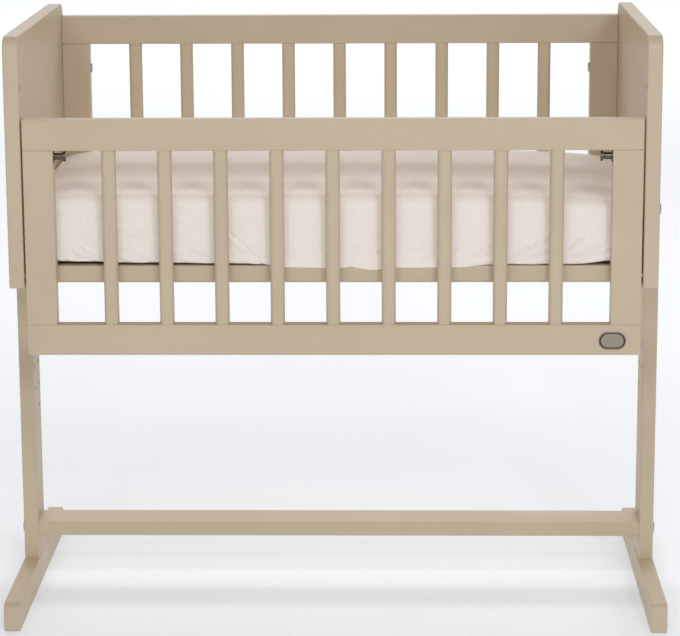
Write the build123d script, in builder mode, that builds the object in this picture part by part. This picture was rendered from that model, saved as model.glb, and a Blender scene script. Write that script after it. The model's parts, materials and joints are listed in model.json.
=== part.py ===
from build123d import *
from math import radians, sin
import os

os.makedirs("parts", exist_ok=True)

# A bedside crib: a box with barred sides, bolted between the two legs of a stand.
# The front side slides down in the box and is drawn here in its low place.
# Millimetres. X runs along the crib, -Y is the front, +Z is up.
# The origin is on the floor under the middle of the crib.

# Driving dimensions of the box
board = 20.0               # thickness of every painted board
inner_length = 812.0       # clear length for a mattress 800 long
box_depth = 470.0
box_bottom = 474.5         # underside of the end panels above the floor
end_height = 331.5
end_corner = 20.0          # radius of the end panels' top corners
side_height = 313.5        # height of the front and back sides
rail_height = 41.0
stile_width = 40.0
side_gap = 2.0             # play between the sliding side and each end panel
side_inset = 1.5           # the sliding side stands this far behind the end panels' edges
side_travel = 90.0         # the front side slides up by this much
edge_round = 2.5           # rounded edges of the end panels
frame_round = 1.5          # rounded edges of rails and stiles

# Driving dimensions of the bars and of the joints in the two sides
bar_count = 9
bar_width = 18.5
bar_depth = 18.0
bar_corner = 5.5
front_bar_pitch = 73.1
back_bar_pitch = 74.8
tenon_length = 14.0
tenon_radius = 5.9         # the bars' round tenons
stile_tenon_width = 24.0   # the stiles' flat tenons
stile_tenon_thick = 8.0
hole_play = 0.05           # a hole is this much larger all round than what is glued in it
hole_spare = 1.0           # a blind hole is this much deeper than what it holds

# Driving dimensions of the mattress, its sheet and the base that carries them
base_thick = 23.0
base_lift = 3.0            # the base stands this far above the end panels' underside
base_round = 5.0           # rounded lower front edge of the base
mattress_length = 800.0
mattress_depth = 418.0
mattress_edge_height = 82.0
mattress_crown = 8.0       # the middle of the top stands this much higher than its ends
mattress_rise = 1.0        # the least rise of the top from its edges
mattress_pull = 3.0        # the long sides draw in by this much between the corners
mattress_bulge = 1.5       # the sides swell by this much at half their height
mattress_corner = 20.0     # radius of the upper edges
mattress_heel = 10.0       # radius of the lower edges
mattress_turn = 45.0       # radius of the upright corners
turn_angles = (0, 25, 50, 70, 90)  # sections through an upright corner, in degrees
sheet_thick = 1.2
hem_width = 60.0           # the sheet is tucked under the mattress by this much

# Driving dimensions of the stand
leg_gap = 1.0              # play between an end panel and its leg
leg_depth = 66.0
leg_top = 566.0
leg_corner = 10.0
foot_thick = 22.0
foot_height = 40.0
foot_length = 470.0
foot_corner = 12.0
foot_heel = 3.0            # small radius of a foot's lower corners
stretcher_depth = 62.0
stretcher_top = 93.5
stand_round = 2.0          # rounded edges of legs, feet and stretcher

# Height settings: two columns of holes in each leg
row_pitch = 32.0           # rows and columns are this far apart
row_count = 9
lowest_row = 254.0         # lowest hole of the rear column above the floor
row_hole_radius = 3.5

# Bolts, nuts, screws and dowels
bolt_radius = 3.0
bolt_hole_radius = 3.3
bolt_head_radius = 8.0
bolt_head_thick = 2.5
bolt_head_taper = 20       # degrees
key_radius = 2.25          # hexagon socket in a bolt head
key_floor = 0.6
bolt_grip = 10.0           # a back bolt runs this far into its insert
bolt_past_centre = 3.0     # a bolt runs this far past the middle of its barrel nut
nut_radius = 5.0
nut_length = 14.0
nut_inset = 30.0           # barrel nuts stand this far from the end of their board
nut_cover = 4.0            # board left over a barrel nut's hole
nut_sink = 1.0             # a barrel nut stands this far from both ends of its hole
back_bolt_inset = 76.5     # from the top and the bottom of the back side
base_bolt_reach = 150.0    # in front of and behind the middle
dowel_radius = 3.95
dowel_length = 30.0
screw_radius = 3.0
screw_reach = 18.0         # the screws through a foot stand this far from its middle
screw_in_leg = 40.0
screw_head_radius = 6.0
screw_head_thick = 4.0
screw_recess = 8.0
screw_head_play = 0.5

# Guide pins and latches of the sliding side
guide_pin_radius = 4.0
guide_pin_lift = 105.5     # axis above the underside of the sliding side
guide_pin_hold = 20.0      # length held in the stile
groove_play = 0.4          # a groove is this much wider all round than its pin
groove_depth = 9.0
groove_end_play = 1.5      # between the end of a pin and the floor of its groove
latch_drop = 49.5          # latch axis below the top of the sliding side
latch_pin_radius = 4.5
latch_play = 0.06          # running fit of the pin in its sleeve
latch_reach = 16.0         # the latch stands out of the stile by this much when drawn back
latch_recess = 1.0         # the drawn-back pin ends this far inside the end of the side
latch_tip = 1.0            # chamfer of the pin's tip
latch_hole_radius = 5.0
latch_hole_depth = 12.0
sleeve_radius = 6.5
collar_radius = 8.5
collar_thick = 1.2
knob_radius = 6.8
knob_thick = 3.2
knob_round = 0.8

# Blank badge on the sliding side
badge_length = 35.5
badge_height = 23.0
badge_thick = 1.2
badge_round = 0.4
badge_x = 367.0
badge_drop = 1.0           # below the middle of the bottom rail

# Places worked out from the dimensions above
end_inside = inner_length / 2
end_outside = end_inside + board
box_front = -box_depth / 2
box_back = box_depth / 2
side_half = end_inside - side_gap
side_bottom = box_bottom - side_travel
side_top = side_bottom + side_height
side_front = box_front + side_inset
side_middle = side_front + board / 2
back_middle = box_back - board / 2
back_top = box_bottom + side_height
base_bottom = box_bottom + base_lift
base_top = base_bottom + base_thick
base_front = side_front + board + side_gap
base_back = box_back - board
mattress_bottom = base_top + sheet_thick
mattress_middle = (base_front + base_back) / 2
leg_inside = end_outside + leg_gap
leg_middle = leg_inside + board / 2
leg_outside = leg_inside + board
latch_height = side_top - latch_drop
guide_height = side_bottom + guide_pin_lift
column_reach = row_pitch / 2
front_rows = [lowest_row + row_pitch * (row + 1) for row in range(row_count)]
rear_rows = [lowest_row + row_pitch * row for row in range(row_count)]
sides = ((-1, "left"), (1, "right"))

# Bolt and pin axes as (y, z) places
height_bolts_at = [(-column_reach, front_rows[-1]), (column_reach, rear_rows[-1])]
back_bolts_at = [(back_middle, back_top - back_bolt_inset),
                 (back_middle, box_bottom + back_bolt_inset)]
base_bolts_at = [(y, base_bottom + base_thick / 2) for y in (-base_bolt_reach, base_bolt_reach)]
stretcher_bolts_at = [(y, stretcher_top - board / 2) for y in (-column_reach, column_reach)]
latch_at = [(side_middle, latch_height)]
guide_at = [(side_middle, guide_height)]


def finish_node(block, name):
    """Label a finished sub-part and write it as one STEP file."""
    block.part.label = name
    export_step(block.part, f"parts/{name}.step")


def bore_x(x_from, x_to, places, radius):
    """Cut round holes along X, at (y, z) places, from one X to another."""
    with BuildSketch(Plane.YZ.offset(x_from)) as mouth:
        with Locations(*places):
            Circle(radius)
    extrude(mouth.sketch, amount=x_to - x_from, mode=Mode.SUBTRACT)


def bore_z(z_from, z_to, places, radius):
    """Cut round holes along Z, at (x, y) places, from one Z to another."""
    with BuildSketch(Plane.XY.offset(z_from)) as mouth:
        with Locations(*places):
            Circle(radius)
    extrude(mouth.sketch, amount=z_to - z_from, mode=Mode.SUBTRACT)


def rod_x(x_from, x_to, places, radius):
    """Add round rods along X, at (y, z) places, from one X to another."""
    with BuildSketch(Plane.YZ.offset(x_from)) as section:
        with Locations(*places):
            Circle(radius)
    extrude(section.sketch, amount=x_to - x_from)


def rod_z(z_from, z_to, places, radius):
    """Add round rods along Z, at (x, y) places, from one Z to another."""
    with BuildSketch(Plane.XY.offset(z_from)) as section:
        with Locations(*places):
            Circle(radius)
    extrude(section.sketch, amount=z_to - z_from)


def bar_places(pitch, middle):
    """The (x, y) places of a side's bars, evenly spaced about the middle."""
    return [((bar - (bar_count - 1) / 2) * pitch, middle) for bar in range(bar_count)]


def stile_places(half_length, middle):
    """The (x, y) places of a side's two stiles."""
    stile_middle = half_length - stile_width / 2
    return [(side * stile_middle, middle) for side, _ in sides]


def make_rail(half_length, middle, bottom, bars, inner_face):
    """A rail across a side, with blind holes for the bars and mortises for the stiles."""
    inward = -1 if inner_face > bottom else 1
    depth = inward * (tenon_length + hole_spare)
    with BuildPart() as rail:
        with Locations((0, middle, bottom)):
            Box(2 * half_length, board, rail_height,
                align=(Align.CENTER, Align.CENTER, Align.MIN))
        fillet(rail.edges(), frame_round)
        bore_z(inner_face, inner_face + depth, bars, tenon_radius + hole_play)
        with BuildSketch(Plane.XY.offset(inner_face)) as mortises:
            with Locations(*stile_places(half_length, middle)):
                Rectangle(stile_tenon_width + 2 * hole_play, stile_tenon_thick + 2 * hole_play)
        extrude(mortises.sketch, amount=depth, mode=Mode.SUBTRACT)
    return rail


def make_stile(side, half_length, middle, bottom):
    """An upright between two rails, with a flat tenon at each end."""
    low = bottom + rail_height
    high = bottom + side_height - rail_height
    centre = (side * (half_length - stile_width / 2), middle, (low + high) / 2)
    with BuildPart() as stile:
        with Locations(centre):
            Box(stile_width, board, high - low)
        fillet(stile.edges().filter_by(Axis.Z), frame_round)
        with Locations(centre):
            Box(stile_tenon_width, stile_tenon_thick, high - low + 2 * tenon_length)
    return stile


def make_bars(prefix, places, bottom):
    """The bars of a side: rounded uprights with a round tenon at each end."""
    low = bottom + rail_height
    high = bottom + side_height - rail_height
    for number, place in enumerate(places, start=1):
        with BuildPart() as bar:
            with BuildSketch(Plane.XY.offset(low)):
                with Locations(place):
                    RectangleRounded(bar_width, bar_depth, bar_corner)
            extrude(amount=high - low)
            rod_z(low - tenon_length, low, [place], tenon_radius)
            rod_z(high, high + tenon_length, [place], tenon_radius)
        finish_node(bar, f"{prefix}_spindle_{number}")


def flat_headed_bolts(x_head, x_end, places):
    """Flat-headed bolts along X from x_head to x_end, with the head outside x_head."""
    outward = 1 if x_head > x_end else -1
    rod_x(x_head, x_end, places, bolt_radius)
    with BuildSketch(Plane.YZ.offset(x_head)) as rim:
        with Locations(*places):
            Circle(bolt_head_radius)
    extrude(rim.sketch, amount=outward * bolt_head_thick, taper=bolt_head_taper)
    with BuildSketch(Plane.YZ.offset(x_head + outward * bolt_head_thick)) as key:
        with Locations(*places):
            RegularPolygon(key_radius, 6)
    extrude(key.sketch, amount=outward * (key_floor - bolt_head_thick), mode=Mode.SUBTRACT)


def barrel_nut_places(board_end):
    """The (x, y) places of the barrel nuts at both ends of a board."""
    bolts_at = base_bolts_at if board_end == end_inside else stretcher_bolts_at
    return [(side * (board_end - nut_inset), y) for side, _ in sides for y, _ in bolts_at]


def bore_for_barrel_nuts(board_end, top, thick, bolts_at):
    """Bolt holes from both ends of a board, and holes from below for its barrel nuts."""
    bore_z(top - thick, top - nut_cover, barrel_nut_places(board_end), nut_radius + hole_play)
    for side, _ in sides:
        bore_x(side * board_end, side * (board_end - nut_inset), bolts_at, bolt_hole_radius)


def make_barrel_nuts(board_end, top, thick, bolts_at):
    """The barrel nuts of a board, each with a cross hole for its bolt."""
    with BuildPart() as nuts:
        rod_z(top - thick + nut_sink, top - nut_cover - nut_sink, barrel_nut_places(board_end),
              nut_radius)
        for side, _ in sides:
            bore_x(side * board_end, side * (board_end - 2 * nut_inset), bolts_at,
                   bolt_radius + hole_play)
    return nuts


def make_inserts(face, inward, bolts_at):
    """Threaded inserts sunk in both end panels from the given face."""
    with BuildPart() as inserts:
        for side, _ in sides:
            bottom = side * (face + inward * nut_length)
            rod_x(side * face, bottom, bolts_at, nut_radius)
            bore_x(side * face, bottom, bolts_at, bolt_radius + hole_play)
    return inserts


# The end panels: solid boards that carry everything in the box
insert_hole = nut_length + hole_spare
for side, word in sides:
    inner_face = side * end_inside
    outer_face = side * end_outside
    with BuildPart() as end_panel:
        with BuildSketch(Plane.YZ.offset(inner_face)) as outline:
            with Locations((0, box_bottom + end_height / 2)):
                Rectangle(box_depth, end_height)
            fillet(outline.vertices().group_by(Axis.Y)[-1], end_corner)
        extrude(amount=side * board)
        fillet(end_panel.edges(), edge_round)
        raised_latch_at = [(y, z + side_travel) for y, z in latch_at]
        bore_x(inner_face, inner_face + side * latch_hole_depth, latch_at + raised_latch_at,
               latch_hole_radius)
        with BuildSketch(Plane.YZ.offset(inner_face)):
            with Locations((side_middle, guide_height + side_travel / 2)):
                SlotCenterToCenter(side_travel, 2 * (guide_pin_radius + groove_play),
                                   rotation=90)
        extrude(amount=side * groove_depth, mode=Mode.SUBTRACT)
        bore_x(inner_face, inner_face + side * insert_hole, back_bolts_at,
               nut_radius + hole_play)
        bore_x(outer_face, outer_face - side * insert_hole, height_bolts_at,
               nut_radius + hole_play)
        bore_x(inner_face, outer_face, base_bolts_at, bolt_hole_radius)
    finish_node(end_panel, f"end_panel_{word}")

# The back side, fixed between the end panels
back_bars = bar_places(back_bar_pitch, back_middle)
back_top_rail = make_rail(end_inside, back_middle, back_top - rail_height,
                          back_bars, back_top - rail_height)
finish_node(back_top_rail, "back_top_rail")
back_bottom_rail = make_rail(end_inside, back_middle, box_bottom,
                             back_bars, box_bottom + rail_height)
finish_node(back_bottom_rail, "back_bottom_rail")
for side, word in sides:
    back_stile = make_stile(side, end_inside, back_middle, box_bottom)
    with back_stile:
        bore_x(side * (end_inside - stile_width), side * end_inside, back_bolts_at,
               bolt_hole_radius)
    finish_node(back_stile, f"back_stile_{word}")
make_bars("back", back_bars, box_bottom)

with BuildPart() as back_bolts:
    for side, _ in sides:
        flat_headed_bolts(side * (end_inside - stile_width), side * (end_inside + bolt_grip),
                          back_bolts_at)
finish_node(back_bolts, "back_bolts")
finish_node(make_inserts(end_inside, 1, back_bolts_at), "back_inserts")

# The base board that carries the mattress, bolted between the end panels
with BuildPart() as base_board:
    with Locations((0, mattress_middle, base_bottom)):
        Box(inner_length, base_back - base_front, base_thick,
            align=(Align.CENTER, Align.CENTER, Align.MIN))
    front_edges = base_board.edges().filter_by(Axis.X).group_by(Axis.Y)[0].sort_by(Axis.Z)
    fillet(front_edges[0], base_round)
    front_edges = base_board.edges().filter_by(Axis.X).group_by(Axis.Y)[0].sort_by(Axis.Z)
    fillet(front_edges[-1], stand_round)
    bore_for_barrel_nuts(end_inside, base_top, base_thick, base_bolts_at)
finish_node(base_board, "base_board")

with BuildPart() as base_bolts:
    for side, _ in sides:
        flat_headed_bolts(side * end_outside,
                          side * (end_inside - nut_inset - bolt_past_centre), base_bolts_at)
finish_node(base_bolts, "base_bolts")
finish_node(make_barrel_nuts(end_inside, base_top, base_thick, base_bolts_at),
            "base_barrel_nuts")
finish_node(make_inserts(end_outside, -1, height_bolts_at), "height_inserts")


# The mattress and its fitted sheet: sections across the crib, lofted along it
def rounding(distance, radius):
    """How far an edge of that radius has turned in, this near the end it rounds into."""
    past = max(0.0, radius - distance)
    return radius - (radius * radius - past * past) ** 0.5


def mattress_section(x, grow):
    """The mattress's section at x, grown all round, with rounded edges and a crowned top."""
    lean = 1 - 0.5 ** 0.5
    corner = mattress_corner
    heel = mattress_heel
    along = x / (mattress_length / 2 + grow)
    to_end = mattress_length / 2 + grow - abs(x)
    half = (mattress_depth / 2 + grow - mattress_pull * (1 - along ** 2)
            - rounding(to_end, mattress_turn + grow))
    low = -grow
    height = mattress_edge_height + grow - rounding(to_end, corner)
    crown = mattress_crown * (1 - along ** 4)
    with BuildSketch(Plane(origin=(x, mattress_middle, mattress_bottom), x_dir=(0, 1, 0),
                           z_dir=(1, 0, 0))) as section:
        with BuildLine():
            Line((0, low), (half - heel, low))
            ThreePointArc((half - heel, low), (half - heel * lean, low + heel * lean),
                          (half, low + heel))
            ThreePointArc((half, low + heel), (half + mattress_bulge, (low + height) / 2),
                          (half, height - corner))
            ThreePointArc((half, height - corner),
                          (half - corner * lean, height - corner * lean),
                          (half - corner, height))
            ThreePointArc((half - corner, height),
                          (half / 2, height + mattress_rise + crown * 0.75),
                          (0, height + mattress_rise + crown))
            mirror(about=Plane.YZ)
        make_face()
    return section.sketch.face()


def loft_mattress(grow):
    """Loft the long middle of the mattress, then its two ends with their upright corners."""
    straight = mattress_length / 2 - mattress_turn
    turn = mattress_turn + grow
    loft([mattress_section(share * straight, grow) for share in (-1, -0.5, 0, 0.5, 1)])
    for side, _ in sides:
        places = [side * (straight + turn * sin(radians(angle))) for angle in turn_angles]
        loft([mattress_section(x, grow) for x in places])


with BuildPart() as mattress:
    loft_mattress(0)
finish_node(mattress, "mattress")

with BuildPart() as fitted_sheet:
    loft_mattress(sheet_thick)
    add(mattress.part, mode=Mode.SUBTRACT)
    with Locations((0, mattress_middle, base_top)):
        Box(mattress_length - 2 * hem_width, mattress_depth - 2 * hem_width,
            4 * sheet_thick, mode=Mode.SUBTRACT)
finish_node(fitted_sheet, "fitted_sheet")

# The front side, which slides up and down between the end panels
front_bars = bar_places(front_bar_pitch, side_middle)
front_top_rail = make_rail(side_half, side_middle, side_top - rail_height,
                           front_bars, side_top - rail_height)
finish_node(front_top_rail, "front_top_rail")
front_bottom_rail = make_rail(side_half, side_middle, side_bottom,
                              front_bars, side_bottom + rail_height)
finish_node(front_bottom_rail, "front_bottom_rail")
stile_inside = side_half - stile_width
for side, word in sides:
    front_stile = make_stile(side, side_half, side_middle, side_bottom)
    with front_stile:
        bore_x(side * stile_inside, side * side_half, latch_at, sleeve_radius + hole_play)
        bore_x(side * side_half, side * (side_half - guide_pin_hold - hole_spare), guide_at,
               guide_pin_radius + hole_play)
    finish_node(front_stile, f"front_stile_{word}")
make_bars("front", front_bars, side_bottom)

with BuildPart() as guide_pins:
    for side, _ in sides:
        rod_x(side * (side_half - guide_pin_hold),
              side * (end_inside + groove_depth - groove_end_play), guide_at, guide_pin_radius)
finish_node(guide_pins, "guide_pins")

with BuildPart() as latch_sleeves:
    for side, _ in sides:
        collar_face = side * (stile_inside - collar_thick)
        rod_x(side * stile_inside, side * side_half, latch_at, sleeve_radius)
        rod_x(side * stile_inside, collar_face, latch_at, collar_radius)
        bore_x(collar_face, side * side_half, latch_at, latch_pin_radius + latch_play)
finish_node(latch_sleeves, "latch_sleeves")

with BuildPart() as badge:
    with BuildSketch(Plane.XZ.offset(-side_front)):
        with Locations((badge_x, side_bottom + rail_height / 2 - badge_drop)):
            SlotOverall(badge_length, badge_height)
    extrude(amount=badge_thick)
    fillet(badge.faces().sort_by(Axis.Y)[0].edges(), badge_round)
finish_node(badge, "badge")

# The two latches: pins with a flanged end, pushed out into the end panels to lock the side
for side, word in sides:
    knob_face = side * (stile_inside - latch_reach)
    with BuildPart() as latch_pin:
        rod_x(knob_face, side * (side_half - latch_recess), latch_at, latch_pin_radius)
        rod_x(knob_face, knob_face + side * knob_thick, latch_at, knob_radius)
        rims = latch_pin.edges().filter_by(GeomType.CIRCLE).sort_by(lambda rim: abs(rim.center().X))
        fillet(rims[0], knob_round)
        rims = latch_pin.edges().filter_by(GeomType.CIRCLE).sort_by(lambda rim: abs(rim.center().X))
        chamfer(rims[-1], latch_tip)
    finish_node(latch_pin, f"latch_pin_{word}")

# The legs, with two columns of holes for the height settings
leg_holes = [(-column_reach, z) for z in front_rows] + [(column_reach, z) for z in rear_rows]
dowel_hole = dowel_length / 2 + hole_spare
for side, word in sides:
    screws_at = [(side * leg_middle, y) for y in (-screw_reach, screw_reach)]
    dowel_at = [(side * leg_middle, 0)]
    with BuildPart() as leg:
        with BuildSketch(Plane.YZ.offset(side * leg_inside)) as outline:
            with Locations((0, (foot_height + leg_top) / 2)):
                Rectangle(leg_depth, leg_top - foot_height)
            fillet(outline.vertices().group_by(Axis.Y)[-1], leg_corner)
        extrude(amount=side * board)
        fillet(leg.edges().filter_by_position(Axis.Z, foot_height + 1, leg_top), stand_round)
        bore_x(side * leg_inside, side * leg_outside, leg_holes, row_hole_radius)
        bore_x(side * leg_inside, side * leg_outside, stretcher_bolts_at, bolt_hole_radius)
        bore_z(foot_height, foot_height + screw_in_leg + hole_spare, screws_at,
               screw_radius + hole_play)
        bore_z(foot_height, foot_height + dowel_hole, dowel_at, dowel_radius + hole_play)
    finish_node(leg, f"leg_{word}")

    # The foot: a board on edge, screwed on from below
    with BuildPart() as foot:
        with Locations((side * leg_middle, 0, 0)):
            Box(foot_thick, foot_length, foot_height,
                align=(Align.CENTER, Align.CENTER, Align.MIN))
        fillet(foot.edges().filter_by(Axis.X).group_by(Axis.Z)[-1], foot_corner)
        fillet(foot.edges().filter_by(Axis.X).group_by(Axis.Z)[0], foot_heel)
        fillet(foot.edges().filter_by(Axis.X, reverse=True), stand_round)
        bore_z(0, foot_height, screws_at, screw_radius + hole_play)
        bore_z(0, screw_recess, screws_at, screw_head_radius + screw_head_play)
        bore_z(foot_height, foot_height - dowel_hole, dowel_at, dowel_radius + hole_play)
    finish_node(foot, f"foot_{word}")

with BuildPart() as foot_screws:
    screws_at = [(side * leg_middle, y) for side, _ in sides for y in (-screw_reach, screw_reach)]
    rod_z(screw_recess, foot_height + screw_in_leg, screws_at, screw_radius)
    rod_z(screw_recess - screw_head_thick, screw_recess, screws_at, screw_head_radius)
finish_node(foot_screws, "foot_screws")

with BuildPart() as foot_dowels:
    rod_z(foot_height - dowel_length / 2, foot_height + dowel_length / 2,
          [(-leg_middle, 0), (leg_middle, 0)], dowel_radius)
finish_node(foot_dowels, "foot_dowels")

# The stretcher between the legs
with BuildPart() as stretcher:
    with Locations((0, 0, stretcher_top)):
        Box(2 * leg_inside, stretcher_depth, board,
            align=(Align.CENTER, Align.CENTER, Align.MAX))
    fillet(stretcher.edges().filter_by(Axis.X), stand_round)
    bore_for_barrel_nuts(leg_inside, stretcher_top, board, stretcher_bolts_at)
finish_node(stretcher, "stretcher")

with BuildPart() as stretcher_bolts:
    for side, _ in sides:
        flat_headed_bolts(side * leg_outside,
                          side * (leg_inside - nut_inset - bolt_past_centre),
                          stretcher_bolts_at)
finish_node(stretcher_bolts, "stretcher_bolts")
finish_node(make_barrel_nuts(leg_inside, stretcher_top, board, stretcher_bolts_at),
            "stretcher_barrel_nuts")

# The height bolts stop at the leg's inner face, so that the box can slide to another setting
with BuildPart() as height_bolts:
    for side, _ in sides:
        flat_headed_bolts(side * leg_outside, side * leg_inside, height_bolts_at)
finish_node(height_bolts, "height_bolts")
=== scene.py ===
import json
import math

import bmesh
import bpy
import numpy as np
from mathutils import Matrix, Vector


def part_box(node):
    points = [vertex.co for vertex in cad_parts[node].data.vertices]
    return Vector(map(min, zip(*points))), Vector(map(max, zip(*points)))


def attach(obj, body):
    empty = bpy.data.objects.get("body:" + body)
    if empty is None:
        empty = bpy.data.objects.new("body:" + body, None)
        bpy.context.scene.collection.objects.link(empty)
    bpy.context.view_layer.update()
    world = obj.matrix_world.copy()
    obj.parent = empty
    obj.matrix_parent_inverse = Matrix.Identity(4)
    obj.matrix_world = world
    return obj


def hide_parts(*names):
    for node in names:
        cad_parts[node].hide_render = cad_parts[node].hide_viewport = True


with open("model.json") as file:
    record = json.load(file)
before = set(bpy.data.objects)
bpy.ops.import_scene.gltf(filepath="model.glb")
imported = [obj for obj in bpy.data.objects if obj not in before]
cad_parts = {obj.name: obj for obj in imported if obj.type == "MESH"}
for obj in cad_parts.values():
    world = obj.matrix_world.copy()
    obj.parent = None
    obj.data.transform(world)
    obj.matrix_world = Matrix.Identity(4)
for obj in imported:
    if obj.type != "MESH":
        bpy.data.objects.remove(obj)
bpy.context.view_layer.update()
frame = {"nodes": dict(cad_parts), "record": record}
nodes = frame["nodes"]
scene = bpy.context.scene
scene.view_settings.view_transform = "Standard"
mm = 0.001  # one millimetre in the scene's metres

# The camera stands well back with a long lens, a little to the right and above the crib
cameraSetup = {
    "place": (0.0831, -3.5499, 1.1581),
    "pitchDown": 12.3,  # degrees below level
    "yawLeft": 1.28,
    "roll": -0.28,
    "lens": 136.6,  # mm, on a sensor 36 mm wide
}


def addCamera(setup):
    # The view direction comes from pitch and yaw, then right and up turn about it by the roll
    pitch, yaw, roll = (math.radians(setup[key]) for key in ("pitchDown", "yawLeft", "roll"))
    forward = Vector((-math.sin(yaw) * math.cos(pitch), math.cos(yaw) * math.cos(pitch), -math.sin(pitch)))
    levelRight = Vector((math.cos(yaw), math.sin(yaw), 0))
    levelUp = levelRight.cross(forward)
    right = math.cos(roll) * levelRight + math.sin(roll) * levelUp
    up = math.cos(roll) * levelUp - math.sin(roll) * levelRight
    camera = bpy.data.objects.new("camera", bpy.data.cameras.new("camera"))
    turn = Matrix((right, up, -forward)).transposed().to_4x4()
    camera.matrix_world = Matrix.Translation(setup["place"]) @ turn
    camera.data.lens = setup["lens"]
    camera.data.sensor_width = 36
    scene.collection.objects.link(camera)
    scene.camera = camera


addCamera(cameraSetup)
print("camera set")


def linearColor(hexCode):
    # From an sRGB hex code to the linear numbers that shaders use
    values = [int(hexCode[place:place + 2], 16) / 255 for place in (1, 3, 5)]
    return (*[v / 12.92 if v <= 0.04045 else ((v + 0.055) / 1.055) ** 2.4 for v in values], 1.0)


def addNode(tree, kind, values=None, links=None, **settings):
    # One shader node: settings are its properties, values its free sockets, links what feeds the others
    node = tree.nodes.new(kind)
    for name, setting in settings.items():
        setattr(node, name, setting)
    for socket, value in (values or {}).items():
        node.inputs[socket].default_value = value
    for socket, output in (links or {}).items():
        tree.links.new(output, node.inputs[socket])
    return node


def startMaterial(name, **sockets):
    # A principled material; a socket's name is given with its spaces left out
    material = bpy.data.materials.new(name)
    material.use_nodes = True
    tree = material.node_tree
    shader = tree.nodes["Principled BSDF"]
    plain = {socket.name.replace(" ", ""): socket for socket in shader.inputs}
    for socket, value in sockets.items():
        plain[socket].default_value = value
    return material, tree, shader


def addTones(tree, shader, factor, darkHex, lightHex):
    # Colour between two close tones of the same finish
    ramp = addNode(tree, "ShaderNodeValToRGB", links={"Fac": factor})
    ramp.color_ramp.elements[0].color = linearColor(darkHex)
    ramp.color_ramp.elements[1].color = linearColor(lightHex)
    tree.links.new(ramp.outputs["Color"], shader.inputs["Base Color"])
    return ramp


def addRoughness(tree, shader, factor, low, high):
    spread = addNode(tree, "ShaderNodeMapRange", {"To Min": low, "To Max": high}, {"Value": factor})
    tree.links.new(spread.outputs["Result"], shader.inputs["Roughness"])


def addBumps(tree, shader, *layers):
    # Each layer is (height output, depth in metres); the later ones lie on the earlier ones
    normal = None
    for height, depth in layers:
        links = {"Height": height}
        if normal is not None:
            links["Normal"] = normal
        bump = addNode(tree, "ShaderNodeBump", {"Strength": 1.0, "Distance": depth}, links)
        normal = bump.outputs["Normal"]
    tree.links.new(normal, shader.inputs["Normal"])


# Clay-coloured lacquer sprayed on beech: opaque and satin, its film pulled tight into a fine
# orange peel, with only a trace of the grain under it
lacquer = {
    "darkHex": "#C6B69C",
    "lightHex": "#CCBCA2",
    "toneDrift": 160 * mm,  # how far apart its slightly darker and lighter places are
    "toneRange": (0.4, 0.85),  # of the summed noise, between its darker and its lighter tone
    "grainShare": 0.25,  # of the grain in that sum
    "grainWidth": 1.6 * mm,
    "grainLength": 60 * mm,
    "grainDepth": 0.012 * mm,
    "peelSize": 2.5 * mm,
    "peelDepth": 0.006 * mm,
    "roughness": (0.40, 0.50),
}


def lacqueredBeech(grainAxis):
    material, tree, shader = startMaterial(f"satin lacquered beech, grain {'xyz'[grainAxis]}", IOR=1.5)
    place = addNode(tree, "ShaderNodeTexCoord").outputs["Object"]
    stretch = [1 / lacquer["grainWidth"]] * 3
    stretch[grainAxis] = 1 / lacquer["grainLength"]
    along = addNode(tree, "ShaderNodeMapping", {"Scale": stretch}, {"Vector": place})
    drift = addNode(tree, "ShaderNodeTexNoise", {"Scale": 1 / lacquer["toneDrift"], "Detail": 3.0},
                    {"Vector": place})
    grain = addNode(tree, "ShaderNodeTexNoise", {"Scale": 1.0, "Detail": 4.0, "Roughness": 0.6},
                    {"Vector": along.outputs["Vector"]})
    peel = addNode(tree, "ShaderNodeTexNoise", {"Scale": 1 / lacquer["peelSize"], "Detail": 1.0},
                   {"Vector": place})
    both = addNode(tree, "ShaderNodeMath", {1: lacquer["grainShare"]},
                   {0: grain.outputs["Fac"], 2: drift.outputs["Fac"]}, operation="MULTIPLY_ADD")
    lowest, highest = lacquer["toneRange"]
    tone = addNode(tree, "ShaderNodeMapRange", {"From Min": lowest, "From Max": highest},
                   {"Value": both.outputs["Value"]})
    addTones(tree, shader, tone.outputs["Result"], lacquer["darkHex"], lacquer["lightHex"])
    addRoughness(tree, shader, grain.outputs["Fac"], *lacquer["roughness"])
    addBumps(tree, shader, (grain.outputs["Fac"], lacquer["grainDepth"]),
             (peel.outputs["Fac"], lacquer["peelDepth"]))
    return material


# Zinc-plated steel: bluish silver fasteners, a soft shine with faint crystal patches
zinc = {
    "darkHex": "#A4A8AC",
    "lightHex": "#C2C5C7",
    "patchSize": 1.4 * mm,
    "patchDepth": 0.003 * mm,
    "roughness": (0.26, 0.42),
}


def zincPlatedSteel():
    material, tree, shader = startMaterial("zinc plated steel", Metallic=1.0)
    place = addNode(tree, "ShaderNodeTexCoord").outputs["Object"]
    patches = addNode(tree, "ShaderNodeTexVoronoi", {"Scale": 1 / zinc["patchSize"]}, {"Vector": place},
                      feature="SMOOTH_F1")
    addTones(tree, shader, patches.outputs["Distance"], zinc["darkHex"], zinc["lightHex"])
    addRoughness(tree, shader, patches.outputs["Distance"], *zinc["roughness"])
    addBumps(tree, shader, (patches.outputs["Distance"], zinc["patchDepth"]))
    return material


def waveScale(pitch):
    # A wave texture repeats every 2 pi / 20 units of its scaled coordinate
    return 2 * math.pi / 20 / pitch


# Nickel-plated turned steel: a darker, warm silver with the fine rings of the lathe tool
nickel = {
    "darkHex": "#4A4238",
    "lightHex": "#776C5F",
    "stainSize": 3 * mm,
    "ringPitch": 0.45 * mm,  # real tool marks are finer, and wouldn't show
    "ringDepth": 0.012 * mm,
    "roughness": (0.22, 0.34),
}


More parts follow.
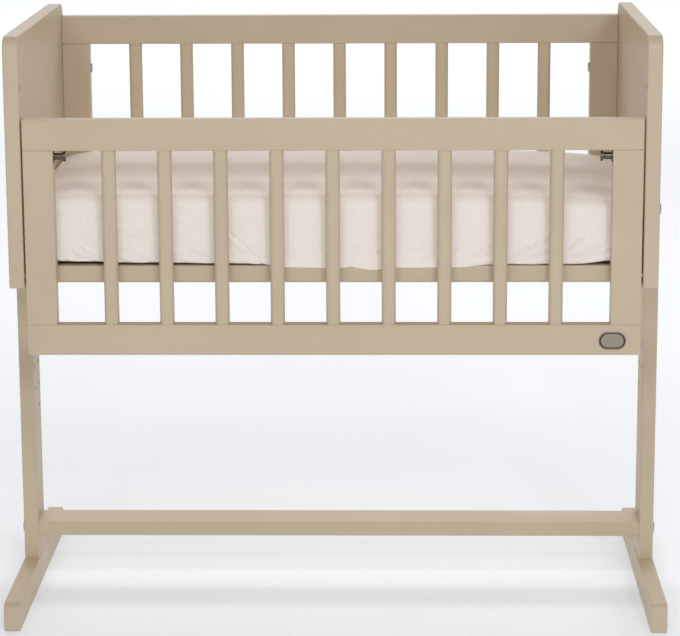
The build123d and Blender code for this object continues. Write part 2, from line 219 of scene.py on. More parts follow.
def turnedNickelSteel():
    material, tree, shader = startMaterial("nickel plated turned steel", Metallic=1.0)
    place = addNode(tree, "ShaderNodeTexCoord").outputs["Object"]
    rings = addNode(tree, "ShaderNodeTexWave",
                    {"Scale": waveScale(nickel["ringPitch"]), "Distortion": 0.4, "Detail": 1.0},
                    {"Vector": place}, bands_direction="X")
    stain = addNode(tree, "ShaderNodeTexNoise", {"Scale": 1 / nickel["stainSize"], "Detail": 2.0},
                    {"Vector": place})
    addTones(tree, shader, stain.outputs["Fac"], nickel["darkHex"], nickel["lightHex"])
    addRoughness(tree, shader, stain.outputs["Fac"], *nickel["roughness"])
    addBumps(tree, shader, (rings.outputs["Fac"], nickel["ringDepth"]))
    return material


# Bare beech dowels: pale pinkish brown with short dark flecks along the grain
beech = {
    "darkHex": "#C39A6C",
    "lightHex": "#DDBB8E",
    "fleckWidth": 0.5 * mm,
    "fleckLength": 4 * mm,
    "fleckDepth": 0.03 * mm,
    "roughness": (0.55, 0.7),
}


def bareBeech():
    material, tree, shader = startMaterial("bare beech dowel", IOR=1.5)
    place = addNode(tree, "ShaderNodeTexCoord").outputs["Object"]
    stretch = (1 / beech["fleckWidth"], 1 / beech["fleckWidth"], 1 / beech["fleckLength"])
    along = addNode(tree, "ShaderNodeMapping", {"Scale": stretch}, {"Vector": place})
    flecks = addNode(tree, "ShaderNodeTexNoise", {"Scale": 1.0, "Detail": 3.0},
                     {"Vector": along.outputs["Vector"]})
    addTones(tree, shader, flecks.outputs["Fac"], beech["darkHex"], beech["lightHex"])
    addRoughness(tree, shader, flecks.outputs["Fac"], *beech["roughness"])
    addBumps(tree, shader, (flecks.outputs["Fac"], beech["fleckDepth"]))
    return material


# Cotton percale: a plain weave, matt, with a soft bloom of fibre ends and uneven threads
percale = {
    "darkHex": "#F2E9E0",
    "lightHex": "#FCF5EE",
    "threadPitch": 0.9 * mm,  # real threads lie 0.3 mm apart, too fine to show
    "threadDepth": 0.05 * mm,
    "slubSize": 6 * mm,  # of the thicker, slightly lighter stretches of thread
    "crumple": 11 * mm,
    "crumpleDepth": 0.12 * mm,
    "roughness": (0.92, 0.84),
}


def cottonPercale():
    material, tree, shader = startMaterial("cotton percale", IOR=1.47, SheenWeight=0.25, SheenRoughness=0.5)
    cloth = addNode(tree, "ShaderNodeUVMap", uv_map="cloth").outputs["UV"]
    wave = {"Scale": waveScale(percale["threadPitch"]), "Distortion": 0.6, "Detail": 2.0,
            "Detail Scale": 2.0}
    threads = []
    for direction in ("X", "Y"):
        bands = addNode(tree, "ShaderNodeTexWave", wave, {"Vector": cloth}, bands_direction=direction)
        threads.append(bands.outputs["Fac"])
    weave = addNode(tree, "ShaderNodeMath", {}, {0: threads[0], 1: threads[1]}, operation="MULTIPLY")
    slubs = addNode(tree, "ShaderNodeTexNoise", {"Scale": 1 / percale["slubSize"], "Detail": 4.0},
                    {"Vector": cloth})
    crumple = addNode(tree, "ShaderNodeTexNoise", {"Scale": 1 / percale["crumple"], "Detail": 3.0},
                      {"Vector": cloth})
    addTones(tree, shader, slubs.outputs["Fac"], percale["darkHex"], percale["lightHex"])
    addRoughness(tree, shader, weave.outputs["Value"], *percale["roughness"])
    addBumps(tree, shader, (crumple.outputs["Fac"], percale["crumpleDepth"]),
             (weave.outputs["Value"], percale["threadDepth"]))
    return material


# Knitted polyester over wadding, stitched through: matt and springy, with rows of tiny loops whose colour
# darkens where they sink, painted shade between them
knit = {
    "darkHex": "#E4E0D8",
    "lightHex": "#F0EDE6",
    "loopPitch": 1.6 * mm,
    "loopDepth": 0.12 * mm,
    "roughness": (0.86, 0.94),
}


def knittedCover():
    material, tree, shader = startMaterial("knitted polyester", SheenWeight=0.3, SheenRoughness=0.4)
    place = addNode(tree, "ShaderNodeTexCoord").outputs["Object"]
    loops = addNode(tree, "ShaderNodeTexVoronoi", {"Scale": 1 / knit["loopPitch"], "Randomness": 0.25},
                    {"Vector": place}, distance="CHEBYCHEV")
    # painted shade: the colour darkens towards each loop's edge, where the bump sinks between the loops
    addTones(tree, shader, loops.outputs["Distance"], knit["lightHex"], knit["darkHex"])
    addRoughness(tree, shader, loops.outputs["Distance"], *knit["roughness"])
    addBumps(tree, shader, (loops.outputs["Distance"], -knit["loopDepth"]))
    return material


grainedBeech = [lacqueredBeech(axis) for axis in range(3)]
zincSteel = zincPlatedSteel()
nickelSteel = turnedNickelSteel()
dowelBeech = bareBeech()
alongX = ("rail", "stretcher", "base_board")
alongY = ("foot", "end_panel")


def finishOf(node, slot):
    # What a CAD node is made of, with the lacquer's grain along its longest side
    if slot == "zinc_steel":
        return zincSteel
    if slot == "latch_steel":
        return nickelSteel
    if slot == "dowel_wood":
        return dowelBeech
    if any(word in node for word in alongX):
        return grainedBeech[0]
    return grainedBeech[1 if any(word in node for word in alongY) else 2]


for part in frame["record"]["subparts"]:
    piece = nodes[part["node"]]
    piece.data.materials.clear()
    piece.data.materials.append(finishOf(part["node"], part["material_slot"]))
print("CAD nodes finished")


def gridFaces(rows, columns, closed=False, start=0):
    # The quads of rows x columns points that are numbered row by row; closed joins the row's ends
    row, column = np.meshgrid(np.arange(rows - 1), np.arange(columns if closed else columns - 1),
                              indexing="ij")
    beside = (column + 1) % columns
    corners = (row * columns + column, row * columns + beside,
               (row + 1) * columns + beside, (row + 1) * columns + column)
    return np.stack(corners, -1).reshape(-1, 4) + start


def addPiece(name, points, faces, material, uv=None, uvName="cloth"):
    # A smooth mesh from arrays: doubled points are merged and the faces turned outwards
    mesh = bpy.data.meshes.new(name)
    mesh.from_pydata(points.tolist(), [], faces.tolist())
    if uv is not None:
        corners = np.zeros(len(mesh.loops), np.int32)
        mesh.loops.foreach_get("vertex_index", corners)
        mesh.uv_layers.new(name=uvName).data.foreach_set("uv", uv[corners].astype(np.float32).ravel())
    work = bmesh.new()
    work.from_mesh(mesh)
    bmesh.ops.remove_doubles(work, verts=work.verts, dist=1e-6)
    bmesh.ops.recalc_face_normals(work, faces=work.faces)
    work.to_mesh(mesh)
    work.free()
    mesh.shade_smooth()
    mesh.materials.append(material)
    piece = bpy.data.objects.new(name, mesh)
    scene.collection.objects.link(piece)
    return piece


def roundCorners(x, y, halfLength, halfWidth, radius):
    # Bends a rectangle's corner squares into quarter discs: with u and v from 0 to 1 across the
    # square, u becomes u sqrt(1 - v^2 / 2) and v becomes v sqrt(1 - u^2 / 2).
    # Also gives the direction outwards from the corner's centre, or from the straight side.
    u = np.clip((np.abs(x) - halfLength + radius) / radius, 0, 1)
    v = np.clip((np.abs(y) - halfWidth + radius) / radius, 0, 1)
    bentU = u * np.sqrt(1 - v ** 2 / 2)
    bentV = v * np.sqrt(1 - u ** 2 / 2)
    roundX = np.sign(x) * np.where(u > 0, halfLength - radius + radius * bentU, np.abs(x))
    roundY = np.sign(y) * np.where(v > 0, halfWidth - radius + radius * bentV, np.abs(y))
    length = np.maximum(np.hypot(bentU, bentV), 1e-9)
    return roundX, roundY, np.sign(x) * bentU / length, np.sign(y) * bentV / length


def rectangleRing(columnsX, columnsY):
    # Grid steps once round the border of a grid of (columnsX + 1) x (columnsY + 1) points
    i = np.concatenate([np.arange(columnsX), np.full(columnsY, columnsX),
                        np.arange(columnsX, 0, -1), np.zeros(columnsY, int)])
    j = np.concatenate([np.zeros(columnsX, int), np.arange(columnsY),
                        np.full(columnsX, columnsY), np.arange(columnsY, 0, -1)])
    return i, j


def softNoise(random, x, y, wavelengths, waves=14):
    # A sum of plane waves in random directions, about -1 to 1
    total = np.zeros(np.broadcast(x, y).shape)
    for _ in range(waves):
        direction, phase = random.uniform(0, 2 * math.pi, 2)
        wavelength = random.uniform(*wavelengths)
        forward = x * math.cos(direction) + y * math.sin(direction)
        total += np.sin(2 * math.pi * forward / wavelength + phase)
    return total / math.sqrt(waves * 2)


# The mattress and its sheet have the same plan: a rectangle with rounded upright corners
bedLow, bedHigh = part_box("fitted_sheet")
bedMiddle = (bedLow + bedHigh) / 2
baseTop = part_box("base_board")[1].z

# Fitted sheet of cotton percale: stretched over the mattress, tucked under it all round, with
# drag folds that run down towards the middle of each side, and a hem that lifts at the corners
fittedSheet = {
    "halfLength": 403.4 * mm,
    "halfWidth": 208.5 * mm,
    "cornerRadius": 17 * mm,
    "topRadius": 15 * mm,  # the rounding from the top to the long sides
    "endRadius": 5 * mm,  # and to the ends, where the cloth is tight
    "lowRadius": 3.5 * mm,  # and from the side to the underside
    "edgeHeight": 84 * mm,
    "crown": 9.2 * mm,  # the top's middle stands this much above its left end
    "crownFall": ((9.2 * mm, 14), (11.7 * mm, 3.5)),  # to the left and right: how far and how late it falls
    "fullness": 1.5 * mm,  # the side stands out by this at half its height
    "skirt": 3.4 * mm,  # the front side runs out to the base's edge by this at its foot
    "foldLimit": (4.5 * mm, 3.4 * mm),  # no fold stands out further, on the front and elsewhere
    "valleyLimit": 1 * mm,  # nor runs in further, so that it stays off the mattress
    "hem": 60 * mm,  # tucked under the mattress
    "hemDown": 2 / 3,  # share of the hem after which it lies on the base
    "thickness": 0.5 * mm,
    "baseGap": 0.6 * mm,  # between the base and the cloth's outer face
    "columnsX": 370,
    "columnsY": 26,
    "rows": (8, 27, 5, 4),  # on the top's rounding, the side, the lower rounding and the hem
    "slack": 0.7 * mm,  # height of the broad uneven places
    "slackLengths": (120 * mm, 400 * mm),  # and how far apart they are
    "hemLift": 6.5 * mm,  # at the upright corners, where the cloth stands off the base
    "liftFade": ((170 * mm, 1), (62 * mm, 3)),  # left and right: reach and how suddenly it ends
    "hemRipple": 0.4 * mm,  # the rest of the hem stands off by about this
    "rippleLengths": (30 * mm, 120 * mm),
    "gatherPitch": 7 * mm,  # of the elastic's small puckers
    "gatherHeight": 0.5 * mm,
    "gatherReach": 6 * mm,  # how far up the side they run
    "largeFoldWidth": 2.7 * mm,
    "smallFolds": 150,
    "foldTurn": 0.17,  # share of half the border at which they change their lean, a long side's middle
    "foldLean": (1.0, 3.0),  # sideways run over rise
    "foldWidth": (1.8 * mm, 3.2 * mm),
    "foldReach": (10 * mm, 26 * mm),
    "foldStart": (1 * mm, 24 * mm),  # height of its middle
    "foldHeight": (0.2 * mm, 0.9 * mm),
    "seed": 11,
    "flat": (1.09, 0.708),  # m, as cut: over the top, down both sides and under by the hem
    "flatArea": 0.688,  # m2, less the cut-out corners
}

# Between two places the foot of the sheet's front hangs a little over the base's edge
overhang = {
    "ends": (-82 * mm, 188 * mm),
    "fade": 9 * mm,
    "drop": 2.9 * mm,
    "waves": ((-2, 12, 1.4), (23, 6, -1.5), (53, 17, 3.2)),  # place, half width and extra drop, in mm
    "start": 0.82,  # share of the side's height where it begins to run outwards
    "outside": 6.0 * mm,  # how far out it hangs, from the top's border
    "inside": 4.95 * mm,  # and comes up behind itself
    "turnHeight": 0.6 * mm,  # above the foot, where it begins to turn under
    "turnDip": 0.3 * mm,  # and the lowest point of that turn, below the foot
    "rest": 0.3 * mm,  # height at which it goes in under the mattress
}

# The large folds of the front, as place along it, height, lean, reach and depth in millimetres.
# They run down towards the middle: a negative lean rises to the right.
frontFolds = (
    (-325, 34, 1.0, 15, 2.6), (-334, 17, 1.15, 13, 2.4), (-340, 7, 4.0, 22, 2.0),
    (-259, 40, 1.9, 27, 2.0), (-264, 7, 3.5, 18, 2.2), (-184, 55, 2.6, 20, 1.0),
    (-175, 8, 2.8, 20, 2.4), (-119, 20, 1.05, 26, 2.8), (-112, 6, 2.2, 16, 1.9),
    (-60, 8, 2.4, 14, 1.6), (-35, 5, -2.0, 12, 1.5), (20, 7, -2.2, 16, 1.6), (62, 14, -3.2, 18, 1.4),
    (118, 22, -3.6, 22, 1.3), (132, 9, -2.6, 18, 1.8), (196, 15, -2.2, 20, 1.9),
    (262, 19, -2.3, 32, 2.6), (276, 9, -3.0, 22, 2.2), (321, 27, -1.2, 16, 2.2), (330, 12, -2.6, 25, 2.8),
)


def foldRidge(across, up, lean, width, reach):
    # One fold's height at places given from its middle, along the border and upwards: a ridge on
    # a slanted line with a sharp valley above it. With t the distance from the line over the
    # width and s the distance along it, it is (exp(-t^2) - 2 exp(-2 (t - 1.5)^2)) exp(-(s / reach)^2).
    slant = math.hypot(1, lean)
    t = (across * np.sign(lean) + up * abs(lean)) / slant / width
    s = (up - across * lean) / slant
    return (np.exp(-t ** 2) - 2 * np.exp(-2 * (t - 1.5) ** 2)) * np.exp(-(s / reach) ** 2)


def allFolds(cfg, random, along, x, isFront, height):
    # The front's large folds, and small ones all round that also run down to a long side's middle
    standing = np.zeros(np.broadcast(along, height).shape)
    perimeter = along[-1] + along[1]
    for place, level, lean, reach, depth in frontFolds:
        ridge = foldRidge(x - place * mm, height - level * mm, lean, cfg["largeFoldWidth"], reach * mm)
        standing += isFront * depth * mm * ridge
    for _ in range(cfg["smallFolds"]):
        middle = random.uniform(0, perimeter)
        lean = random.uniform(*cfg["foldLean"]) * (1 if (middle / perimeter) % 0.5 < cfg["foldTurn"] else -1)
        width, reach = random.uniform(*cfg["foldWidth"]), random.uniform(*cfg["foldReach"])
        start, depth = random.uniform(*cfg["foldStart"]), random.uniform(*cfg["foldHeight"])
        across = (along - middle + perimeter / 2) % perimeter - perimeter / 2
        standing += depth * foldRidge(across, height - start, lean, width, reach)
    return standing


def sheetTop(cfg, random):
    # The top as a grid in plan, the directions outwards from it, and its height: a crown that falls
    # to both ends, with broad uneven places
    flatX = cfg["halfLength"] - cfg["endRadius"]
    flatY = cfg["halfWidth"] - cfg["topRadius"]
    x, y = np.meshgrid(np.linspace(-flatX, flatX, cfg["columnsX"] + 1),
                       np.linspace(-flatY, flatY, cfg["columnsY"] + 1), indexing="ij")
    falls = [fall * np.abs(x / flatX) ** power for fall, power in cfg["crownFall"]]
    height = (cfg["edgeHeight"] + cfg["crown"] - np.where(x < 0, *falls)
              + cfg["slack"] * softNoise(random, x, y, cfg["slackLengths"]))
    return (*roundCorners(x, y, flatX, flatY, cfg["cornerRadius"] - cfg["topRadius"]), height)


def sheetProfile(cfg):
    # The profile down from the top's border, one value a row: a quarter circle, the side with its
    # fullness, a smaller quarter circle, and the hem inwards
    rowsTop, rowsSide, rowsLow, rowsHem = cfg["rows"]
    low = cfg["lowRadius"]
    turnTop = np.linspace(0, math.pi / 2, rowsTop + 1)
    turnLow = np.linspace(0, math.pi / 2, rowsLow + 1)[1:]
    side = np.linspace(0, 1, rowsSide + 1)[1:]
    inwards = np.linspace(0, 1, rowsHem + 1)[1:]
    below = np.ones(rowsSide + rowsLow + rowsHem)
    stretches = {
        "topOut": (np.sin(turnTop), below),  # shares of the top's rounding, outwards and down
        "topDown": (1 - np.cos(turnTop), below),
        "side": (np.zeros(rowsTop + 1), side, np.ones(rowsLow + rowsHem)),  # share of the side, down
        "sideOut": (np.zeros(rowsTop + 1), cfg["fullness"] * np.sin(math.pi * side),
                    -low * (1 - np.cos(turnLow)), -low - cfg["hem"] * inwards),
        "lowDown": (np.zeros(rowsTop + rowsSide + 1), low * np.sin(turnLow), np.full(rowsHem, low)),
        "hemUp": (np.ones(rowsTop + rowsSide + rowsLow + 1), 1 - np.minimum(inwards / cfg["hemDown"], 1)),
    }
    return {name: np.concatenate(parts)[:, None] for name, parts in stretches.items()}


def hemLift(cfg, random, along, x, onLongSide):
    # The hem lifts as hemLift exp(-(d / reach)^power), with d the way from the upright corner
    toCorner = np.where(onLongSide, cfg["halfLength"] - np.abs(x), 0)
    fade = [np.exp(-(toCorner / reach) ** power) for reach, power in cfg["liftFade"]]
    ripple = 1 + softNoise(random, along, 0 * along, cfg["rippleLengths"])
    return cfg["hemLift"] * np.where(x < 0, *fade) + cfg["hemRipple"] * ripple


def hangOver(cfg, hang, x, isFront, top, lift, gather, share, outwards, height):
    # Moves the front's rows where the cloth hangs over the base's edge: its side runs on down in
    # front of the edge, turns under, and comes up behind itself before it goes in under the mattress.
    # gather is the puckers' height at the side's end.
    fromLeft, fromRight = x - hang["ends"][0], hang["ends"][1] - x
    hanging = isFront / (1 + np.exp(-fromLeft / hang["fade"])) / (1 + np.exp(-fromRight / hang["fade"]))
    foot = gather - hang["drop"]
    for place, halfWidth, extra in hang["waves"]:
        foot -= extra * mm * np.exp(-((x / mm - place) / halfWidth) ** 2)
    rowsTop, rowsSide, rowsLow = cfg["rows"][:3]
    above = slice(0, rowsTop + rowsSide + 1)
    lower = np.clip((share[above] - hang["start"]) / (1 - hang["start"]), 0, 1)
    lower = lower ** 2 * (3 - 2 * lower) * hanging
    outwards[above] += (top + hang["outside"] - outwards[above]) * lower
    height[above] += (hang["turnHeight"] + foot - cfg["lowRadius"] - lift) * lower
    under = slice(rowsTop + rowsSide + 1, rowsTop + rowsSide + rowsLow + 1)
    turnRows = np.arange(1, rowsLow + 1)[:, None]
    underOut = top + np.interp(turnRows, (1, 3), (hang["outside"], hang["inside"]))
    underHeight = foot + np.interp(turnRows, (1, 2, 3), (0, -hang["turnDip"], 0))
    underHeight[-1] = hang["rest"]
    outwards[under] += (underOut - outwards[under]) * hanging
    height[under] += (underHeight - height[under]) * hanging


def makeSheet(cfg, hang):
    random = np.random.default_rng(cfg["seed"])
    topX, topY, outX, outY, topHeight = sheetTop(cfg, random)

    # The way out from the top's border, whose rounding is tighter at the ends
    i, j = rectangleRing(cfg["columnsX"], cfg["columnsY"])
    ringX, ringY, ringHeight = topX[i, j], topY[i, j], topHeight[i, j]
    top = np.hypot(outX[i, j] * cfg["endRadius"], outY[i, j] * cfg["topRadius"])
    normalX, normalY = outX[i, j] * cfg["endRadius"] / top, outY[i, j] * cfg["topRadius"] / top
    borderX, borderY = ringX + normalX * top, ringY + normalY * top
    steps = np.hypot(np.roll(borderX, -1) - borderX, np.roll(borderY, -1) - borderY)
    along = np.concatenate([[0], np.cumsum(steps)[:-1]])
    isFront = normalY < -0.5
    isBack = normalY > 0.5

    # The side's rows are stretched to end where the hem lifts
    profile = sheetProfile(cfg)
    share = profile["side"]
    row = np.arange(len(share))[:, None]
    rowsTop, rowsSide, rowsLow = cfg["rows"][:3]
    sideEnd = rowsTop + rowsSide
    aboveHem = row <= sideEnd + rowsLow
    lift = hemLift(cfg, random, along, borderX, isFront | isBack)
    height = (ringHeight - top * profile["topDown"] - share * (ringHeight - top - cfg["lowRadius"] - lift)
              - profile["lowDown"])
    height = np.where(profile["hemUp"] < 1, lift * profile["hemUp"], height)
    out = top * profile["topOut"] + profile["sideOut"] + isFront * cfg["skirt"] * share ** 2 * aboveHem

    folds = allFolds(cfg, random, along, borderX, isFront, height)
    gathers = (cfg["gatherHeight"] * np.sin(2 * math.pi * along / cfg["gatherPitch"])
               * np.exp(-(height / cfg["gatherReach"]) ** 2))
    outwards = out + np.where(aboveHem, folds + gathers, 0)
    outwards = np.minimum(outwards, top + np.where(isFront, *cfg["foldLimit"]))
    onSide = (row > rowsTop) & (row <= sideEnd)
    outwards = np.where(onSide, np.maximum(outwards, top - cfg["valleyLimit"]), outwards)
    hangOver(cfg, hang, borderX, isFront, top, lift, gathers[sideEnd], share, outwards, height)

    sidePoints = np.stack([ringX + normalX * outwards, ringY + normalY * outwards, height], -1)
    topPoints = np.stack([topX, topY, topHeight], -1).reshape(-1, 3)
    points = np.concatenate([topPoints, sidePoints.reshape(-1, 3)])
    points += np.array([bedMiddle.x, bedMiddle.y, baseTop + cfg["baseGap"]])

    # The cloth map in metres: plan coordinates on the top, carried on outwards down the sides
    steps = np.hypot(np.diff(out.mean(1)), np.diff(height.mean(1)))
    travel = np.concatenate([[0], np.cumsum(steps)])[:, None]
    sideUv = np.stack([ringX + normalX * travel, ringY + normalY * travel], -1).reshape(-1, 2)
    uv = np.concatenate([topPoints[:, :2], sideUv])
    faces = np.concatenate([gridFaces(cfg["columnsX"] + 1, cfg["columnsY"] + 1),
                            gridFaces(len(out), len(ringX), closed=True, start=len(topPoints))])
    piece = addPiece("fitted_sheet_cloth", points, faces, cottonPercale(), uv)
    thickness = piece.modifiers.new("cloth thickness", "SOLIDIFY")
    thickness.thickness = cfg["thickness"]
    thickness.offset = -1
    return piece


# Foam mattress in a knitted cover: crowned, its sides pulled in a little between the corners,
# with diamond stitching on both faces
mattress = {
    "halfLength": 398 * mm,
    "halfWidth": 206 * mm,
    "cornerRadius": 33 * mm,
    "edgeRadius": 15 * mm,
    "height": 80.5 * mm,
    "crown": 6.5 * mm,
    "crownPower": 4,  # how late it falls to the ends
    "baseGap": 1.6 * mm,  # the sheet's hem lies between the mattress and the base
    "pulledIn": 1.5 * mm,
    "diamond": 90 * mm,
    "stitchWidth": 5 * mm,
    "stitchDepth": 1.2 * mm,
    "stitchPower": 8,  # how late the stitching fades to the edges
    "columnsX": 180,
    "columnsY": 92,
    "rowsEdge": 7,
    "rowsSide": 6,
}


def makeMattress(cfg):
    # Two faces of the same grid, joined by a side whose profile is a quarter circle, a line and a
    # quarter circle. The stitching sinks as exp(-(d / stitchWidth)^2), with d the distance from the
    # nearest of two sets of slanted lines.
    flatX = cfg["halfLength"] - cfg["edgeRadius"]
    flatY = cfg["halfWidth"] - cfg["edgeRadius"]
    radius = cfg["cornerRadius"] - cfg["edgeRadius"]
    x, y = np.meshgrid(np.linspace(-flatX, flatX, cfg["columnsX"] + 1),
                       np.linspace(-flatY, flatY, cfg["columnsY"] + 1), indexing="ij")
    planX, planY, outX, outY = roundCorners(x, y, flatX, flatY, radius)
    stitches = np.zeros_like(x)
    for slope in (1, -1):
        across = (x + slope * y) / math.sqrt(2)
        fromLine = np.abs((across / cfg["diamond"] + 0.5) % 1 - 0.5) * cfg["diamond"]
        stitches = np.maximum(stitches, np.exp(-(fromLine / cfg["stitchWidth"]) ** 2))
    inside = (1 - (x / flatX) ** cfg["stitchPower"]) * (1 - (y / flatY) ** cfg["stitchPower"])
    dent = cfg["stitchDepth"] * stitches * inside
    crown = cfg["crown"] * (1 - (x / flatX) ** cfg["crownPower"])
    top = np.stack([planX, planY, cfg["height"] + crown - dent], -1).reshape(-1, 3)
    bottom = np.stack([planX, planY, dent], -1).reshape(-1, 3)

    i, j = rectangleRing(cfg["columnsX"], cfg["columnsY"])
    turn = np.linspace(0, math.pi / 2, cfg["rowsEdge"] + 1)
    side = np.linspace(0, 1, cfg["rowsSide"] + 1)[1:-1]
    straight = cfg["height"] - 2 * cfg["edgeRadius"]
    out = np.concatenate([np.sin(turn), 1 - cfg["pulledIn"] / cfg["edgeRadius"] * np.sin(math.pi * side),
                          np.sin(turn)[::-1]]) * cfg["edgeRadius"]
    level = np.concatenate([cfg["height"] - cfg["edgeRadius"] * (1 - np.cos(turn)),
                            cfg["edgeRadius"] + straight * (1 - side),
                            cfg["edgeRadius"] * (1 - np.cos(turn))[::-1]])[:, None]
    sidePoints = np.stack([planX[i, j] + outX[i, j] * out[:, None], planY[i, j] + outY[i, j] * out[:, None],
                           level + crown[i, j] * level / cfg["height"]], -1).reshape(-1, 3)
    points = np.concatenate([top, bottom, sidePoints])
    points += np.array([bedMiddle.x, bedMiddle.y, baseTop + cfg["baseGap"]])
    face = gridFaces(cfg["columnsX"] + 1, cfg["columnsY"] + 1)
    faces = np.concatenate([face, face + len(top),
                            gridFaces(len(out), len(i), closed=True, start=2 * len(top))])
    return addPiece("quilted_mattress", points, faces, knittedCover())


quiltedMattress = makeMattress(mattress)
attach(quiltedMattress, "crib")
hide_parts("mattress")
print("mattress made")

sheetCloth = makeSheet(fittedSheet, overhang)
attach(sheetCloth, "crib")
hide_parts("fitted_sheet")
print("fitted sheet made")

# Cast zinc badge, satin and blank: a flat field inside a raised rim, with its colour dark in the
# groove between them and at its outer edge
badge = {
    "rimWidth": 1.0 * mm,
    "grooveWidth": 1.3 * mm,
    "grooveDepth": 0.35 * mm,
    "wallWidth": 0.25 * mm,  # of the groove's sloping walls
    "fieldDepth": 0.1 * mm,  # the field lies this much below the rim
    "fieldRings": (2 * mm, 0.6, 0.8),  # in from the groove, then as shares of the radius
    "edgeRounding": 0.35 * mm,
    "edgeRows": 5,
    "columns": 128,
    "darkHex": "#4F463B",
    "lightHex": "#A39A8E",
    # the colour is dark at the outer edge and in the groove, and light on the rim and the field
    "patina": ((0.05, "lightHex"), (0.10, "darkHex"), (0.20, "darkHex")),  # at shares of the radius
    "patinaEnd": 0.30,
    "brushLength": 14 * mm,
    "brushWidth": 0.25 * mm,
    "brushDepth": 0.01 * mm,
    "roughness": (0.34, 0.5),
}


def satinZinc(cfg):
    material, tree, shader = startMaterial("satin cast zinc", Metallic=1.0)
    place = addNode(tree, "ShaderNodeTexCoord").outputs["Object"]
    inset = addNode(tree, "ShaderNodeUVMap", uv_map="inset").outputs["UV"]
    depth = addNode(tree, "ShaderNodeSeparateXYZ", links={"Vector": inset}).outputs["Y"]
    stretch = (1 / cfg["brushLength"], 1.0, 1 / cfg["brushWidth"])
    across = addNode(tree, "ShaderNodeMapping", {"Scale": stretch}, {"Vector": place})
    brushed = addNode(tree, "ShaderNodeTexNoise", {"Scale": 1.0, "Detail": 2.0},
                      {"Vector": across.outputs["Vector"]})
    # The colour goes by the distance in from the outline: dark at the outer edge and in the groove, light on
    # the rim and the field
    tones = addTones(tree, shader, depth, cfg["darkHex"], cfg["lightHex"]).color_ramp.elements
    tones[1].position = cfg["patinaEnd"]
    for position, tone in cfg["patina"]:
        tones.new(position).color = linearColor(cfg[tone])
    addRoughness(tree, shader, brushed.outputs["Fac"], *cfg["roughness"])
    addBumps(tree, shader, (brushed.outputs["Fac"], cfg["brushDepth"]))
    return material


def makeBadge(cfg):
    # A stadium whose outline shrinks onto its own middle line: the point at turn a and inset d is
    # the end of the middle line plus (radius - d) times (cos a, sin a)
    low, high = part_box("badge")
    radius = (high.z - low.z) / 2
    halfLine = (high.x - low.x) / 2 - radius
    turn = (np.arange(cfg["columns"]) + 0.5) * 2 * math.pi / cfg["columns"]
    centre = np.where(np.cos(turn) > 0, halfLine, -halfLine)

    # The rings as distance in from the outline and height off the back: the closed back, the
    # rounded edge, the rim, the groove and the field
    full = high.y - low.y
    edge = cfg["edgeRounding"]
    rounding = np.linspace(0, math.pi / 2, cfg["edgeRows"])
    wall = cfg["wallWidth"]
    groove = cfg["rimWidth"] + cfg["grooveWidth"]
    firstRing, *otherRings = cfg["fieldRings"]
    rings = [(radius, 0.0), (0.0, 0.0)]
    rings += zip(edge * (1 - np.cos(rounding)), full - edge * (1 - np.sin(rounding)))
    rings += [(cfg["rimWidth"], full), (cfg["rimWidth"] + wall, full - cfg["grooveDepth"]),
              (groove, full - cfg["grooveDepth"])]
    field = [groove + wall, groove + firstRing, *[radius * share for share in otherRings], radius]
    rings += [(inset, full - cfg["fieldDepth"]) for inset in field]
    inset, lift = np.array(rings).T[..., None]
    x = centre + (radius - inset) * np.cos(turn)
    z = (radius - inset) * np.sin(turn)
    points = np.stack([x + (low.x + high.x) / 2, np.broadcast_to(high.y - lift, x.shape),
                       z + (low.z + high.z) / 2], -1).reshape(-1, 3)
    uv = np.stack([np.broadcast_to(turn / (2 * math.pi), x.shape), np.broadcast_to(inset / radius, x.shape)],
                  -1).reshape(-1, 2)
    faces = gridFaces(len(rings), cfg["columns"], closed=True)
    return addPiece("blank_badge", points, faces, satinZinc(cfg), uv, "inset")


blankBadge = makeBadge(badge)
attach(blankBadge, "drop_side")
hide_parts("badge")
print("badge made")

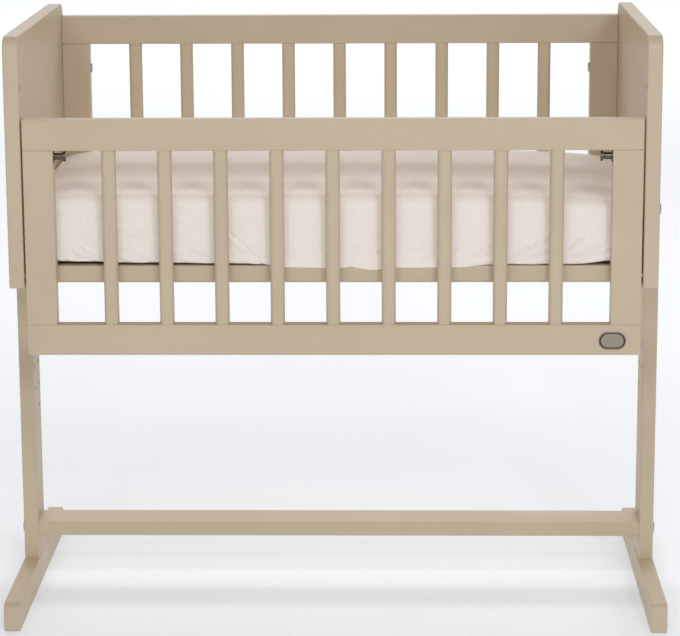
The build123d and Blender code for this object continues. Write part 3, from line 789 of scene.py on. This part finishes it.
# A plain pale floor of opal acrylic, lit a little from below as in a product studio, and soft
# boxes of light in front, behind and at the sides, all aimed at the crib's middle. The boxes are
# as cool as daylight, and the room round them gives a warmer, dimmer light.
studio = {
    "floorHexes": ("#F2F1EF", "#F4F3F1"),
    "hazeSize": 25 * mm,  # of the floor's faint uneven places
    "floorSize": 60.0,
    "glowHex": "#D1E7FF",
    "glow": 0.255,
    "roomHex": "#FFEDD9",
    "room": 0.36,
    "boxHex": "#EEF5FF",
    "aim": (0, 0, 0.5),
    "boxes": {  # azimuth from the front to the right, elevation, distance, size and watts
        "low left box": (-17, 20, 3.4, (0.5, 0.4), 8.8),
        "low right box": (19, 20, 3.4, (0.5, 0.4), 18.6),
        "high box": (2, 40, 3.4, (0.7, 0.5), 19.5),
        "back box": (180, 42, 3.2, (3.0, 0.8), 34),
        "left box": (-100, 25, 3.0, (1.6, 1.6), 3),
        "right box": (100, 25, 3.0, (1.6, 1.6), 10),
    },
    "backdropBox": {"place": (0, 7.5, 3.2), "size": (9.0, 8.0), "watts": 240},
}


def addFloor():
    half = studio["floorSize"] / 2
    material, tree, shader = startMaterial("opal acrylic", Roughness=0.9, EmissionStrength=studio["glow"],
                                           EmissionColor=linearColor(studio["glowHex"]))
    place = addNode(tree, "ShaderNodeTexCoord").outputs["Object"]
    haze = addNode(tree, "ShaderNodeTexNoise", {"Scale": 1 / studio["hazeSize"], "Detail": 3.0},
                   {"Vector": place})
    addTones(tree, shader, haze.outputs["Fac"], *studio["floorHexes"])
    points = np.array([(-half, -half, 0), (half, -half, 0), (half, half, 0), (-half, half, 0)])
    floor = addPiece("studio_floor", points, np.array([(0, 1, 2, 3)]), material)


def addLight(name, place, away, size, watts):
    light = bpy.data.lights.new(name, "AREA")
    light.shape = "RECTANGLE"
    light.size, light.size_y = size
    light.energy = watts
    light.color = linearColor(studio["boxHex"])[:3]
    lamp = bpy.data.objects.new(name, light)
    lamp.location = place
    lamp.rotation_euler = (-away).to_track_quat("-Z", "Y").to_euler()
    lamp.visible_camera = False
    scene.collection.objects.link(lamp)


addFloor()
for name, (azimuth, elevation, distance, size, watts) in studio["boxes"].items():
    turn, rise = math.radians(azimuth), math.radians(elevation)
    away = Vector((math.sin(turn) * math.cos(rise), -math.cos(turn) * math.cos(rise), math.sin(rise)))
    addLight(name, Vector(studio["aim"]) + distance * away, away, size, watts)
backdrop = studio["backdropBox"]  # lights the floor behind, straight from above
addLight("backdrop box", backdrop["place"], Vector((0, 0, 1)), backdrop["size"], backdrop["watts"])
scene.world = bpy.data.worlds.new("studio room")
scene.world.use_nodes = True
room = scene.world.node_tree.nodes["Background"]
room.inputs["Color"].default_value = linearColor(studio["roomHex"])
room.inputs["Strength"].default_value = studio["room"]
print("studio lit")
